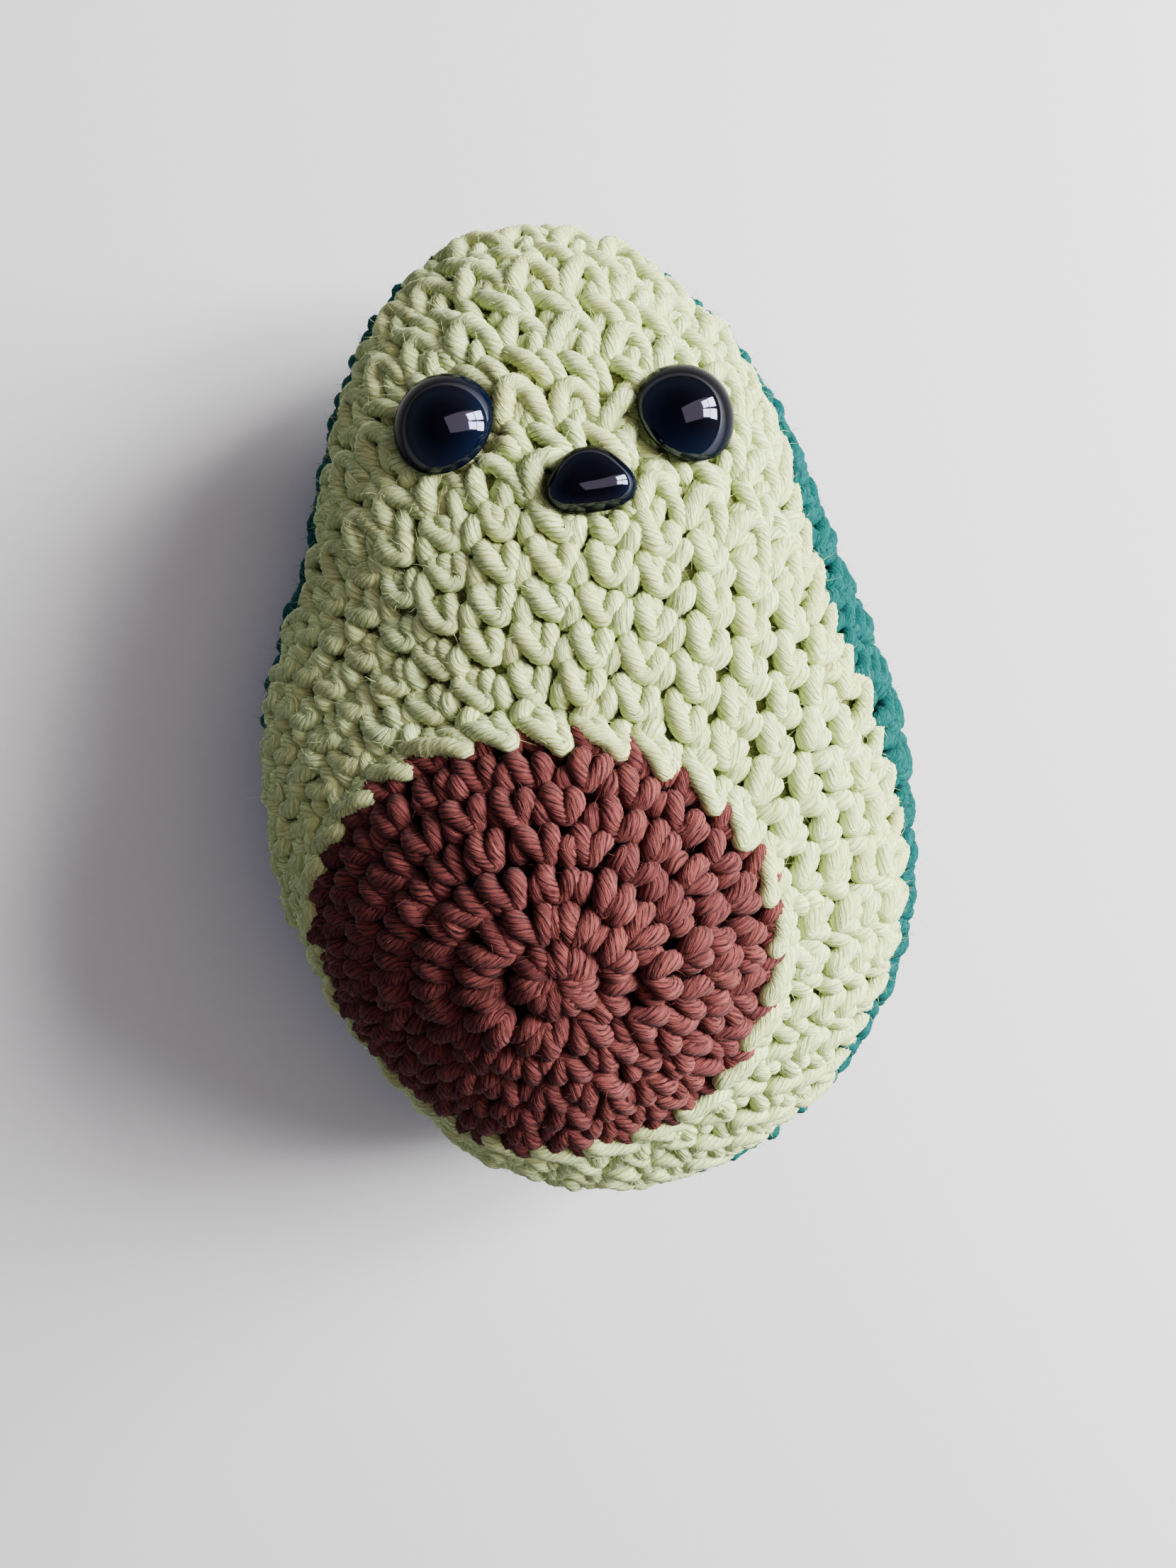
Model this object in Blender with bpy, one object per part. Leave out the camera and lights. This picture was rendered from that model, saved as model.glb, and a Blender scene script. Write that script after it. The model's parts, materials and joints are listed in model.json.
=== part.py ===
"""A crocheted soft toy: half an avocado with a face, lying on its back.

Lengths are in millimetres until a mesh is made, which is in metres. +Z is up, out of the toy's
front, and +Y is towards the top of its head. The origin is on the surface that it lies on, under
the middle of its box.
"""

import functools
import math

import bmesh
import bpy
import numpy as np
from mathutils import Matrix, Vector
from mathutils.geometry import delaunay_2d_cdt

MM = 0.001
TURN = 2 * math.pi

# The body without its stitches
HALF_WIDTH = 41.5  # at the widest line, which runs across the lower third
HEAD_REACH = 78.6  # from the widest line to the top of the head
FOOT_REACH = 45.9  # from the widest line to the bottom
DIPS = (  # where the outline falls in from the plain egg: by how much, at what angle, how far round
    (2.5, 45.0, 17.5),  # right of the neck
    (5.2, 124.0, 16.5),  # left of the neck
    (2.0, 194.0, 14.0),  # left side
    (3.5, 219.0, 18.0),  # lower left
)
FRONT_DEPTH = 32.5  # from the fullest level up to the flesh
BACK_DEPTH = 21.3  # from the fullest level down to the back
FULLEST_LEVEL = 20.5  # less than the back's depth, which leaves the flat spot it rests on
MIDDLE = (-0.2, (FOOT_REACH - HEAD_REACH) / 2 + 0.2)  # which centres the stitched body's box

# The stone
STONE_MIDDLE = (-6.7, -23.7)
STONE_HALF_WIDTH, STONE_HALF_LENGTH = 28.0, 26.0
RING_AT = (-3.2, -24.2)  # where its rounds start, off its middle
STONE_RISE = 7.5  # over the body's own curve
STONE_ROUNDS = 6

# The crochet
STITCH = 5.9  # along a round
ROUND = 4.7  # from one round to the next
RELIEF = 1.5  # how far a stitch stands out
FABRIC = 3.0  # thickness under the stitches
COLOUR_TOOTH = 2.6  # how far the pale stitches reach down over the stone
SEAM_TOOTH = 0.8  # in plan, over the back
SEAM_STITCH = 5.3
SEAM_INSET = 1.4  # in plan, from the body's outline, where the front reaches furthest round
SEAM_INSETS = (  # where the back comes further round to the front, as in DIPS
    (3.6, 38.0, 28.0),  # right of the neck
    (0.9, 142.0, 20.0),  # left of the neck
    (0.9, 310.0, 25.0),  # lower right
)
GAP = 0.3  # between neighbouring pieces
EDGE_BAND = 4.4  # along the seam, which the edge round takes up
LINING_STEP = 9.0  # between points of a panel's plain inner side

# The face
EYE_ACROSS, EYE_RISE = 12.0, 5.4
EYE_LEFT, EYE_RIGHT = (-8.7, 35.8), (17.4, 33.6)
NOSE_AT = (6.2, 26.8)
NOSE_HALF_WIDTH, NOSE_HALF_HEIGHT, NOSE_RISE = 4.8, 3.7, 3.6
SHANK_ACROSS, SHANK_LENGTH, SHANK_RIB = 4.0, 11.0, 0.15
WASHER_ACROSS, WASHER_THICK, WASHER_DEPTH = 11.0, 1.2, 5.3
PRESSED_IN = 0.6  # how deep the eyes and the nose sit in the stitches

STUFFING_DEPTH = FABRIC + 2.5

PALE, BROWN, TEAL = (0.70, 0.74, 0.42), (0.22, 0.065, 0.05), (0.004, 0.19, 0.16)
WHITE, BLACK = (0.85, 0.85, 0.82), (0.006, 0.006, 0.009)


# The body's surface

def bumps(angle, table):
    """The sum of smooth bumps round the body, each (height, degrees, spread in degrees)."""
    total = 0.0
    for height, at, spread in table:
        off = (np.degrees(angle) - at + 180) % 360 - 180
        total = total + height * np.exp(-((off / spread) ** 2))
    return total


def outline(angle):
    """How far the body reaches from its middle, in plan, at an angle in radians."""
    reach = np.where(np.sin(angle) > 0, HEAD_REACH, FOOT_REACH)
    oval = 1 / np.hypot(np.cos(angle) / HALF_WIDTH, np.sin(angle) / reach)
    return oval - bumps(angle, DIPS)


def share(x, y):
    """0 at the body's middle, 1 on its outline."""
    x, y = x - MIDDLE[0], y - MIDDLE[1]
    return np.hypot(x, y) / outline(np.arctan2(y, x))


def stone_share(x, y):
    """0 at the stone's middle, 1 on its edge."""
    return np.hypot(
        (x - STONE_MIDDLE[0]) / STONE_HALF_WIDTH, (y - STONE_MIDDLE[1]) / STONE_HALF_LENGTH
    )


def front_height(x, y):
    dome = FRONT_DEPTH * np.sqrt(np.maximum(1 - share(x, y) ** 2, 0))
    stone = STONE_RISE * np.maximum(1 - stone_share(x, y) ** 2, 0)
    return FULLEST_LEVEL + dome + stone


def front_normal(point, step=0.05):
    x, y = point[:2]
    slope_x = (front_height(x + step, y) - front_height(x - step, y)) / (2 * step)
    slope_y = (front_height(x, y + step) - front_height(x, y - step)) / (2 * step)
    normal = np.array([-slope_x, -slope_y, 1.0])
    return normal / np.linalg.norm(normal)


def back_normal(point, step=0.05):
    x, y, z = point
    depth = FRONT_DEPTH if z > FULLEST_LEVEL else BACK_DEPTH
    normal = np.array([
        (share(x + step, y) ** 2 - share(x - step, y) ** 2) / (2 * step),
        (share(x, y + step) ** 2 - share(x, y - step) ** 2) / (2 * step),
        2 * (z - FULLEST_LEVEL) / depth**2,
    ])
    return normal / np.linalg.norm(normal)


@functools.cache
def front_ray(angle):
    """Points on the front from where the rounds start out to the body's outline."""
    out = np.linspace(0, HEAD_REACH + FOOT_REACH, 500)
    x = RING_AT[0] + out * math.cos(angle)
    y = RING_AT[1] + out * math.sin(angle)
    inside = share(x, y) < 0.99
    x, y = x[inside], y[inside]
    return np.stack([x, y, front_height(x, y)], axis=1)


@functools.cache
def back_ray(angle):
    """Points from the middle of the back, round the body's fullest level and up towards the seam."""
    tilt = np.linspace(-math.pi / 2, math.pi / 4, 400)
    out = outline(angle) * np.cos(tilt)
    depth = np.where(tilt > 0, FRONT_DEPTH, BACK_DEPTH)
    return np.stack([
        MIDDLE[0] + out * math.cos(angle),
        MIDDLE[1] + out * math.sin(angle),
        FULLEST_LEVEL + depth * np.sin(tilt),
    ], axis=1)


def run_of(points):
    """Length from the first point to each point."""
    steps = np.linalg.norm(np.diff(points, axis=0), axis=1)
    return np.concatenate([[0], np.cumsum(steps)])


def follow(ray, distance):
    """The point at this distance along a ray."""
    run = run_of(ray)
    return np.array([np.interp(distance, run, ray[:, i]) for i in range(3)])


def stone_rim(angle):
    """Distance along a front ray at which the stone ends."""
    ray = front_ray(angle)
    near = stone_share(ray[:, 0], ray[:, 1]) < 1.3
    return float(np.interp(1.0, stone_share(ray[near, 0], ray[near, 1]), run_of(ray[near])))


# Flat layouts: a panel is laid out as (angle, distance along its ray), and cut by its edges

def flat(angle, distance):
    return np.array([distance * math.cos(angle), distance * math.sin(angle)])


def colour_edge(extra):
    """The saw-toothed line where the stone's yarn gives way to the pale one, laid out flat."""
    teeth = round(TURN * (STONE_HALF_WIDTH + STONE_HALF_LENGTH) / 2 / STITCH)
    edge = []
    for tooth in range(teeth):
        for part, reach in ((0.0, -COLOUR_TOOTH), (0.35, 0.0), (0.65, 0.0)):
            angle = TURN * (tooth + part) / teeth
            edge.append(flat(angle, stone_rim(angle) + reach + extra))
    return edge


def seam_points(extra):
    """Points along the toothed seam, as (angle about the body's middle, share of the outline)."""
    angles = np.linspace(0, TURN, 721)
    way = outline(angles) * np.stack([np.cos(angles), np.sin(angles)])
    run = run_of(way.T)
    teeth = round(run[-1] / SEAM_STITCH)
    points = []
    for half in range(2 * teeth):
        angle = float(np.interp(half / (2 * teeth) * run[-1], run, angles))
        inset = SEAM_INSET + bumps(angle, SEAM_INSETS)
        tooth = SEAM_TOOTH * (half % 2)
        points.append((angle, float(1 - (inset - tooth - extra) / outline(angle))))
    return points


def front_seam():
    edge = []
    for angle, of_outline in seam_points(-GAP / 2):
        out = of_outline * float(outline(angle))
        x = MIDDLE[0] + out * math.cos(angle) - RING_AT[0]
        y = MIDDLE[1] + out * math.sin(angle) - RING_AT[1]
        around = math.atan2(y, x)
        ray = front_ray(around)
        from_ring = np.hypot(ray[:, 0] - RING_AT[0], ray[:, 1] - RING_AT[1])
        edge.append(flat(around, np.interp(math.hypot(x, y), from_ring, run_of(ray))))
    return edge


def back_seam():
    edge = []
    for angle, of_outline in seam_points(GAP / 2):
        ray = back_ray(angle)
        out = np.hypot(ray[:, 0] - MIDDLE[0], ray[:, 1] - MIDDLE[1])
        above = ray[:, 2] > FULLEST_LEVEL
        run = run_of(ray)[above]
        edge.append(flat(angle, np.interp(-of_outline * outline(angle), -out[above], run)))
    return edge


def inside(spot, edges):
    """Whether a flat point lies within the outer edge and outside the inner one."""
    crossings = 0
    for edge in edges:
        for a, b in zip(edge, edge[1:] + edge[:1]):
            if (a[1] > spot[1]) != (b[1] > spot[1]):
                crossings += spot[0] < a[0] + (spot[1] - a[1]) / (b[1] - a[1]) * (b[0] - a[0])
    return crossings % 2 == 1


def from_edge(spot, edge):
    """Distance of a flat point from an edge."""
    starts = np.array(edge)
    along = np.roll(starts, -1, axis=0) - starts
    part = np.clip(((spot - starts) * along).sum(1) / (along**2).sum(1), 0, 1)
    return float(np.linalg.norm(starts + part[:, None] * along - spot, axis=1).min())


def ring_places(ray, reach, spacing, turned):
    """A function that gives the angles, evenly spaced in space, along one round of stitches."""
    angles = np.linspace(0, TURN, 181)
    run = run_of(np.array([follow(ray(a), reach(a)) for a in angles]))
    count = max(round(run[-1] / spacing), 5)

    def places(of_stitch):
        return np.interp(((np.arange(count) + turned + of_stitch) / count % 1) * run[-1], run, angles)

    return places


def stitch_points(ray, reaches, edges, spacing=STITCH, band=1.0):
    """(flat point, height) of each stitch's hump and both its sides, and of the next hollows."""
    made = []
    for row, reach in enumerate(reaches):
        crest = ring_places(ray, reach, spacing, row * 0.5)
        for part, height in ((0.0, RELIEF), (0.5, 0.25 * RELIEF)):
            made += [(flat(a, reach(a)), height) for a in crest(part)]

        def hollow_reach(a, reach=reach):
            return reach(a) + ROUND / 2

        hollow = ring_places(ray, hollow_reach, spacing, row * 0.5)
        for part, height in ((0.0, 0.25 * RELIEF), (0.5, 0.0)):
            made += [(flat(a, hollow_reach(a)), height) for a in hollow(part)]
    return [
        (spot, height) for spot, height in made
        if inside(spot, edges) and from_edge(spot, edges[-1]) > band
        and all(from_edge(spot, edge) > 1.0 for edge in edges[:-1])
    ]


def edge_points(seam, edges):
    """The edge round's humps, which follow the seam one band inside it."""
    middle = np.mean(seam, axis=0)
    made = []
    for a, b in zip(seam, seam[1:] + seam[:1]):
        inwards = middle - a
        spot = (a + b) / 2 + inwards / np.linalg.norm(inwards) * EDGE_BAND / 2
        if inside(spot, edges) and all(from_edge(spot, edge) > 1.0 for edge in edges):
            made.append((spot, RELIEF))
    return made


def lining_points(edges):
    """A plain triangular grid for the inner side."""
    corner = np.max(np.abs(np.array(edges[-1])), axis=0)
    made = []
    for j, y in enumerate(np.arange(-corner[1], corner[1], LINING_STEP * math.sqrt(3) / 2)):
        for x in np.arange(-corner[0], corner[0], LINING_STEP):
            spot = np.array([x + (j % 2) * LINING_STEP / 2, y])
            if inside(spot, edges) and all(from_edge(spot, e) > LINING_STEP / 3 for e in edges):
                made.append((spot, -FABRIC))
    return made


# Meshes and objects

def clear_scene():
    for obj in list(bpy.data.objects):
        bpy.data.objects.remove(obj, do_unlink=True)


def material(name, colour, roughness):
    made = bpy.data.materials.new(name)
    made.use_nodes = True
    shader = made.node_tree.nodes["Principled BSDF"]
    shader.inputs["Base Color"].default_value = (*colour, 1)
    shader.inputs["Roughness"].default_value = roughness
    made.diffuse_color = (*colour, 1)
    return made


def object_of(name, bm, finish, smooth=False):
    bmesh.ops.recalc_face_normals(bm, faces=bm.faces)
    mesh = bpy.data.meshes.new(name)
    bm.to_mesh(mesh)
    bm.free()
    if smooth:
        mesh.shade_smooth()
        mesh.set_sharp_from_angle(angle=math.radians(40))
    obj = bpy.data.objects.new(name, mesh)
    bpy.context.scene.collection.objects.link(obj)
    if finish:
        mesh.materials.append(finish)
    return obj


def triangles(spots, edges):
    """Triangles between flat points, as indices, within the edges, whose points come first."""
    constraints, start = [], 0
    for edge in edges:
        constraints += [(start + i, start + (i + 1) % len(edge)) for i in range(len(edge))]
        start += len(edge)
    found = delaunay_2d_cdt([Vector(s) for s in spots], constraints, [], 0, 1e-6)
    origin = [ids[0] for ids in found[3]]
    for face in found[2]:
        corners = [origin[i] for i in face]
        if inside(np.mean([spots[i] for i in corners], axis=0), edges):
            yield corners


def panel(name, ray, normal, edges, stitches, finish):
    """A crocheted panel: stitches outside, plain inside, and a wall along each edge."""
    bm = bmesh.new()
    rim = [(spot, 0.0) for edge in edges for spot in edge]
    lining_rim = [(spot, -FABRIC) for spot, _ in rim]

    def side(places):
        made = []
        for spot, height in places:
            base = follow(ray(math.atan2(spot[1], spot[0])), np.linalg.norm(spot))
            at = base + height * normal(base)
            at[2] = max(at[2], 0.0 if height >= 0 else FABRIC * 0.7)
            made.append(bm.verts.new(Vector(at) * MM))
        for corners in triangles([spot for spot, _ in places], edges):
            bm.faces.new([made[i] for i in corners])
        return made

    outer = side(rim + stitches)
    inner = side(lining_rim + lining_points(edges))
    start = 0
    for edge in edges:
        for i in range(len(edge)):
            a, b = start + i, start + (i + 1) % len(edge)
            bm.faces.new([outer[a], outer[b], inner[b], inner[a]])
        start += len(edge)
    return object_of(name, bm, finish)


def lofted(name, rings, finish, closed=False):
    """A skin over rings of points, capped at both ends, or joined last to first."""
    bm = bmesh.new()
    loops = [[bm.verts.new(Vector(p) * MM) for p in ring] for ring in rings]
    pairs = list(zip(loops, loops[1:])) + ([(loops[-1], loops[0])] if closed else [])
    for lower, upper in pairs:
        for i in range(len(lower)):
            j = (i + 1) % len(lower)
            bm.faces.new([lower[i], lower[j], upper[j], upper[i]])
    if not closed:
        bm.faces.new(loops[0])
        bm.faces.new(loops[-1])
    return object_of(name, bm, finish, smooth=True)


def round_outline(angle):
    return math.cos(angle), math.sin(angle)


def nose_outline(angle):
    """A triangle with full sides and round corners, point up, of unit size."""
    reach = 1 + 0.13 * math.cos(3 * (angle - math.pi / 2))
    return reach * math.cos(angle), reach * math.sin(angle)


def rings_of(profile, shape, segments, half_width=1.0, half_height=1.0):
    """Rings for lofted() from (size, height) pairs."""
    rings = []
    for size, height in profile:
        ring = []
        for i in range(segments):
            x, y = shape(TURN * i / segments)
            ring.append((size * half_width * x, size * half_height * y, height))
        rings.append(ring)
    return rings


def shank_profile():
    """A ribbed stalk, from its tip up to the underside of the head."""
    radius = SHANK_ACROSS / 2
    profile = [(radius * 0.7, -SHANK_LENGTH), (radius, -SHANK_LENGTH + 0.8)]
    for rib in range(3):
        top = -SHANK_LENGTH + 2.6 + rib * 2.0
        profile += [(radius + SHANK_RIB, top), (radius - SHANK_RIB, top + 0.3)]
    return profile + [(radius, -0.02)]


def seat(spot):
    """Where a feature of the face sits: its matrix, +Z out of the fabric, +Y towards the head."""
    x, y = spot
    base = np.array([x, y, float(front_height(x, y))])
    out = Vector(front_normal(base))
    up = (Vector((0, 1, 0)) - out * out.y).normalized()
    turn = Matrix((up.cross(out), up, out)).transposed().to_4x4()
    at = Vector(base) + out * (RELIEF - PRESSED_IN)
    return Matrix.Translation(at * MM) @ turn


def cutter(name, rings, matrix, target):
    tool = lofted(name, rings, None)
    tool.matrix_world = matrix
    tool.hide_render = True
    tool.display_type = "WIRE"
    cut = target.modifiers.new(name, "BOOLEAN")
    cut.operation = "DIFFERENCE"
    cut.object = tool
    return tool


def dome_profile(rise, undercut=0.94, lip=0.7, rings=5):
    """A domed head of unit radius, from its underside to near its top."""
    profile = [(undercut, 0.0), (1.0, lip)]
    for i in range(1, rings + 1):
        tilt = math.radians(84) * i / rings
        profile.append((math.cos(tilt), lip + (rise - lip) * math.sin(tilt)))
    return profile


def face_piece(name, spot, shape, half_width, half_height, rise, finishes, flesh, core):
    """A domed head on a ribbed shank through the fabric, its washer behind, and room for both."""
    plastic, washer_finish = finishes
    matrix = seat(spot)
    segments = 24
    shank = rings_of(shank_profile(), round_outline, segments)
    head = rings_of(dome_profile(rise), shape, segments, half_width, half_height)
    piece = lofted(name, shank + head, plastic)
    piece.matrix_world = matrix

    hole = SHANK_ACROSS / 2 + SHANK_RIB + GAP
    bore = rings_of([(hole, -SHANK_LENGTH), (hole, -GAP)], round_outline, segments)
    wide = rings_of([(1, -GAP), (1, rise + 4)], shape, segments, half_width + GAP, half_height + GAP)
    cutter(name + "_hole", bore + wide, matrix, flesh)

    top = -WASHER_DEPTH
    washer_half = WASHER_ACROSS / 2
    washer = rings_of(
        [(hole, top), (washer_half, top), (washer_half, top - WASHER_THICK),
         (hole + 1.2, top - WASHER_THICK), (hole + 0.9, top - 2 * WASHER_THICK),
         (hole, top - 2 * WASHER_THICK)],
        round_outline, segments,
    )
    ring = lofted(name + "_washer", washer, washer_finish, closed=True)
    ring.matrix_world = matrix

    room = washer_half + 2 * GAP
    well = [(room, -SHANK_LENGTH - 1.0), (room, 4.0)]
    cutter(name + "_well", rings_of(well, round_outline, segments), matrix, core)


def stuffing(finish):
    """The filling: the body's form, drawn in from the fabric all over."""
    columns, rows = 32, 9
    rings = []
    for row in range(-rows, rows + 1):
        tilt = math.radians(86) * row / rows
        ring = []
        for i in range(columns):
            angle = TURN * i / columns
            out = float(outline(angle)) * math.cos(tilt)
            x, y = MIDDLE[0] + out * math.cos(angle), MIDDLE[1] + out * math.sin(angle)
            if tilt > math.radians(25):
                base = np.array([x, y, float(front_height(x, y))])
                normal = front_normal(base)
            else:
                depth = FRONT_DEPTH if tilt > 0 else BACK_DEPTH
                base = np.array([x, y, FULLEST_LEVEL + depth * math.sin(tilt)])
                normal = back_normal(base)
            ring.append(base - STUFFING_DEPTH * normal)
        rings.append(ring)
    return lofted("stuffing", rings, finish)


def build():
    clear_scene()
    pale = material("pale_yarn", PALE, 0.9)
    brown = material("brown_yarn", BROWN, 0.9)
    teal = material("teal_yarn", TEAL, 0.9)
    fibre = material("fibre_filling", WHITE, 0.95)
    plastics = material("black_plastic", BLACK, 0.08), material("white_plastic", WHITE, 0.4)

    stone_edge = [colour_edge(-GAP)]
    stone_rounds = [
        lambda a, k=k: stone_rim(a) * (k + 0.5) / STONE_ROUNDS for k in range(STONE_ROUNDS)
    ]
    hollow_middle = [(np.array([0.0, 0.0]), 0.0)]
    stone_stitches = stitch_points(front_ray, stone_rounds, stone_edge) + hollow_middle
    panel("stone_panel", front_ray, front_normal, stone_edge, stone_stitches, brown)

    seam = front_seam()
    flesh_edges = [colour_edge(GAP), seam]
    longest = max(np.linalg.norm(spot) for spot in seam)
    flesh_rounds = [
        lambda a, k=k: stone_rim(a) + (k + 0.5) * ROUND for k in range(int(longest / ROUND))
    ]
    flesh_stitches = stitch_points(front_ray, flesh_rounds, flesh_edges, band=EDGE_BAND)
    flesh_stitches += edge_points(seam, flesh_edges)
    flesh = panel("flesh_panel", front_ray, front_normal, flesh_edges, flesh_stitches, pale)

    seam = back_seam()
    longest = max(np.linalg.norm(spot) for spot in seam)
    back_rounds = [lambda a, k=k: (k + 0.5) * ROUND for k in range(int(longest / ROUND))]
    back_stitches = stitch_points(back_ray, back_rounds, [seam], band=EDGE_BAND)
    back_stitches += edge_points(seam, [seam])
    panel("back_panel", back_ray, back_normal, [seam], back_stitches, teal)

    core = stuffing(fibre)
    half_eye = EYE_ACROSS / 2
    for name, spot in (("eye_left", EYE_LEFT), ("eye_right", EYE_RIGHT)):
        face_piece(name, spot, round_outline, half_eye, half_eye, EYE_RISE, plastics, flesh, core)
    face_piece(
        "nose", NOSE_AT, nose_outline, NOSE_HALF_WIDTH, NOSE_HALF_HEIGHT, NOSE_RISE, plastics,
        flesh, core,
    )


build()
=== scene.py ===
"""How the crocheted avocado toy looks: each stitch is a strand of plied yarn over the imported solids.

Lengths are in millimetres until a mesh is made, which is in metres. The body's numbers and its
surface repeat part.py's, so that every stitch sits where its solid is. Only the seam differs: seen
from the front it is up to 1.7 mm further in or out, which fits the photo more closely.
"""

import json
import math

import bpy
import numpy as np
from mathutils import Euler, Matrix, Vector

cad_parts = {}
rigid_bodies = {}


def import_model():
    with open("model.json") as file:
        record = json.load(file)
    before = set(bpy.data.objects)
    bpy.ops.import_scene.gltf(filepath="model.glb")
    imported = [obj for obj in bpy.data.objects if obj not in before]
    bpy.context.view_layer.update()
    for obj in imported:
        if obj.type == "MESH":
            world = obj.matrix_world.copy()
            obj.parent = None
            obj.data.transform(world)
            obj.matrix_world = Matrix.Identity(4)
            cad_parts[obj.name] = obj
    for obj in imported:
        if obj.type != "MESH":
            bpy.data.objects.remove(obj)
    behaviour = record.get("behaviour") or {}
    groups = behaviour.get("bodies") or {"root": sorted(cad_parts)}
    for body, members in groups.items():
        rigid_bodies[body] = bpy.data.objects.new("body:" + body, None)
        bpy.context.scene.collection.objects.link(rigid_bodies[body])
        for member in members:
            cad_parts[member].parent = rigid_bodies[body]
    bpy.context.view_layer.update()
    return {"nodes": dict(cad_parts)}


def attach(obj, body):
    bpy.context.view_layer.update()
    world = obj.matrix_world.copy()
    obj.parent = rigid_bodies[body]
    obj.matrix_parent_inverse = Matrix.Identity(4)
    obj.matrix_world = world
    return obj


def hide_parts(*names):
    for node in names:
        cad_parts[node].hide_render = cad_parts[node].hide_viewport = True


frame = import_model()

MM = 0.001
TURN = 2 * math.pi
RANDOM = np.random.default_rng(7)

# The body, as in part.py but for SEAM_INSETS. DIPS and SEAM_INSETS are rows for bumps()
HALF_WIDTH = 41.5
HEAD_REACH = 78.6
FOOT_REACH = 45.9
DIPS = ((2.5, 45.0, 17.5), (5.2, 124.0, 16.5), (2.0, 194.0, 14.0), (3.5, 219.0, 18.0))
FRONT_DEPTH = 32.5
BACK_DEPTH = 21.3
FULLEST_LEVEL = 20.5
MIDDLE = (-0.2, (FOOT_REACH - HEAD_REACH) / 2 + 0.2)
STONE_MIDDLE = (-6.7, -23.7)
STONE_HALF_WIDTH, STONE_HALF_LENGTH = 28.0, 26.0
RING_AT = (-3.2, -24.2)
STONE_RISE = 7.5
STONE_COUNTS = (6, 9, 14, 19, 23, 26, 28)  # stitches in each round of the stone
STITCH = 5.9  # a stitch's width
ROUND = 4.7  # from one round to the next, on the back
RELIEF = 1.5  # of the solids' stitches, which the face sits on
SEAM_STITCH = 5.3
SEAM_INSET = 1.4  # in plan, from the body's outline
SEAM_INSETS = (
    (4.2, 37.0, 28.0),  # right of the neck
    (-1.7, 80.0, 22.0),  # over the head's top, where the back doesn't show
    (1.9, 118.0, 16.0),  # left of the head
    (-0.8, 192.0, 42.0),  # left of the belly
    (1.9, 335.0, 42.0),  # right of the belly
)
EYE_ACROSS, EYE_RISE = 12.0, 5.4
EYE_LEFT, EYE_RIGHT = (-8.7, 35.8), (17.4, 33.6)
NOSE_AT = (6.2, 26.8)
NOSE_HALF_WIDTH, NOSE_HALF_HEIGHT, NOSE_RISE = 4.8, 3.7, 3.6
SHANK_ACROSS, SHANK_LENGTH, SHANK_RIB = 4.0, 11.0, 0.15
PRESSED_IN = 0.6

# The camera, found from the photo
FOCAL_LENGTH, PHOTO_WIDTH = 1662, 1659  # in the photo's pixels
CAMERA_AT = (8.4, 8.3, 180.3)
CAMERA_TURN = (-6.37, 2.06, -7.78)  # degrees about x, y and z

# The yarn
YARN = 1.17  # a strand's radius
SIDES = 18  # round a strand, two to each ply
PLY_TWIST = math.tan(math.radians(47)) / YARN  # radians a millimetre
PLY_RELIEF = 0.035
FUZZ = 13.0  # loose fibres to a strand
FIBRE = 0.03  # a loose fibre's radius
MOST_FACES = 97_000  # in one object, so that its STL file holds all of them
LEAN = 0.1  # of a stitch, how far each round sits to the side of the one before
FLESH_ROUND = 4.55  # from one round to the next, on the flesh
FLESH_START = -0.1  # where the round that meets the stone is, from the stone's rim
COLOUR_STITCHES = 28  # in the round where the colour changes
HEAD_FROM = 6  # the round from which the head's rows are worked to and fro
SEAM_CLEARANCE = 2.3  # from a stitch's middle to the seam, at the least
RIM_ROUNDS = 4.3  # the length that the stone's stitches are drawn for
MIDDLE_ROUNDS = 8  # of the back, in its first object
TABLE = 0.02  # how high the lowest yarn lies
ANGLES = np.linspace(0, TURN, 361)


# The body's surface

def bumps(angle, table):
    """The sum of smooth bumps round the body, each (height, degrees, spread in degrees)."""
    total = 0.0
    for height, at, spread in table:
        off = (np.degrees(angle) - at + 180) % 360 - 180
        total = total + height * np.exp(-((off / spread) ** 2))
    return total


def outline(angle):
    """How far the body reaches from its middle, in plan, at an angle in radians."""
    reach = np.where(np.sin(angle) > 0, HEAD_REACH, FOOT_REACH)
    oval = 1 / np.hypot(np.cos(angle) / HALF_WIDTH, np.sin(angle) / reach)
    return oval - bumps(angle, DIPS)


def share(x, y):
    """0 at the body's middle, 1 on its outline."""
    x, y = x - MIDDLE[0], y - MIDDLE[1]
    return np.hypot(x, y) / outline(np.arctan2(y, x))


def stone_share(x, y):
    """0 at the stone's middle, 1 on its edge."""
    return np.hypot(
        (x - STONE_MIDDLE[0]) / STONE_HALF_WIDTH, (y - STONE_MIDDLE[1]) / STONE_HALF_LENGTH
    )


def front_height(x, y):
    dome = FRONT_DEPTH * np.sqrt(np.maximum(1 - share(x, y) ** 2, 0))
    stone = STONE_RISE * np.maximum(1 - stone_share(x, y) ** 2, 0)
    return FULLEST_LEVEL + dome + stone


def front_normal(x, y, step=0.05):
    slope_x = (front_height(x + step, y) - front_height(x - step, y)) / (2 * step)
    slope_y = (front_height(x, y + step) - front_height(x, y - step)) / (2 * step)
    normal = np.array([-slope_x, -slope_y, 1.0])
    return normal / np.linalg.norm(normal)


def run_of(points):
    """Length from the first point to each point."""
    steps = np.linalg.norm(np.diff(points, axis=0), axis=1)
    return np.concatenate([[0], np.cumsum(steps)])


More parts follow.
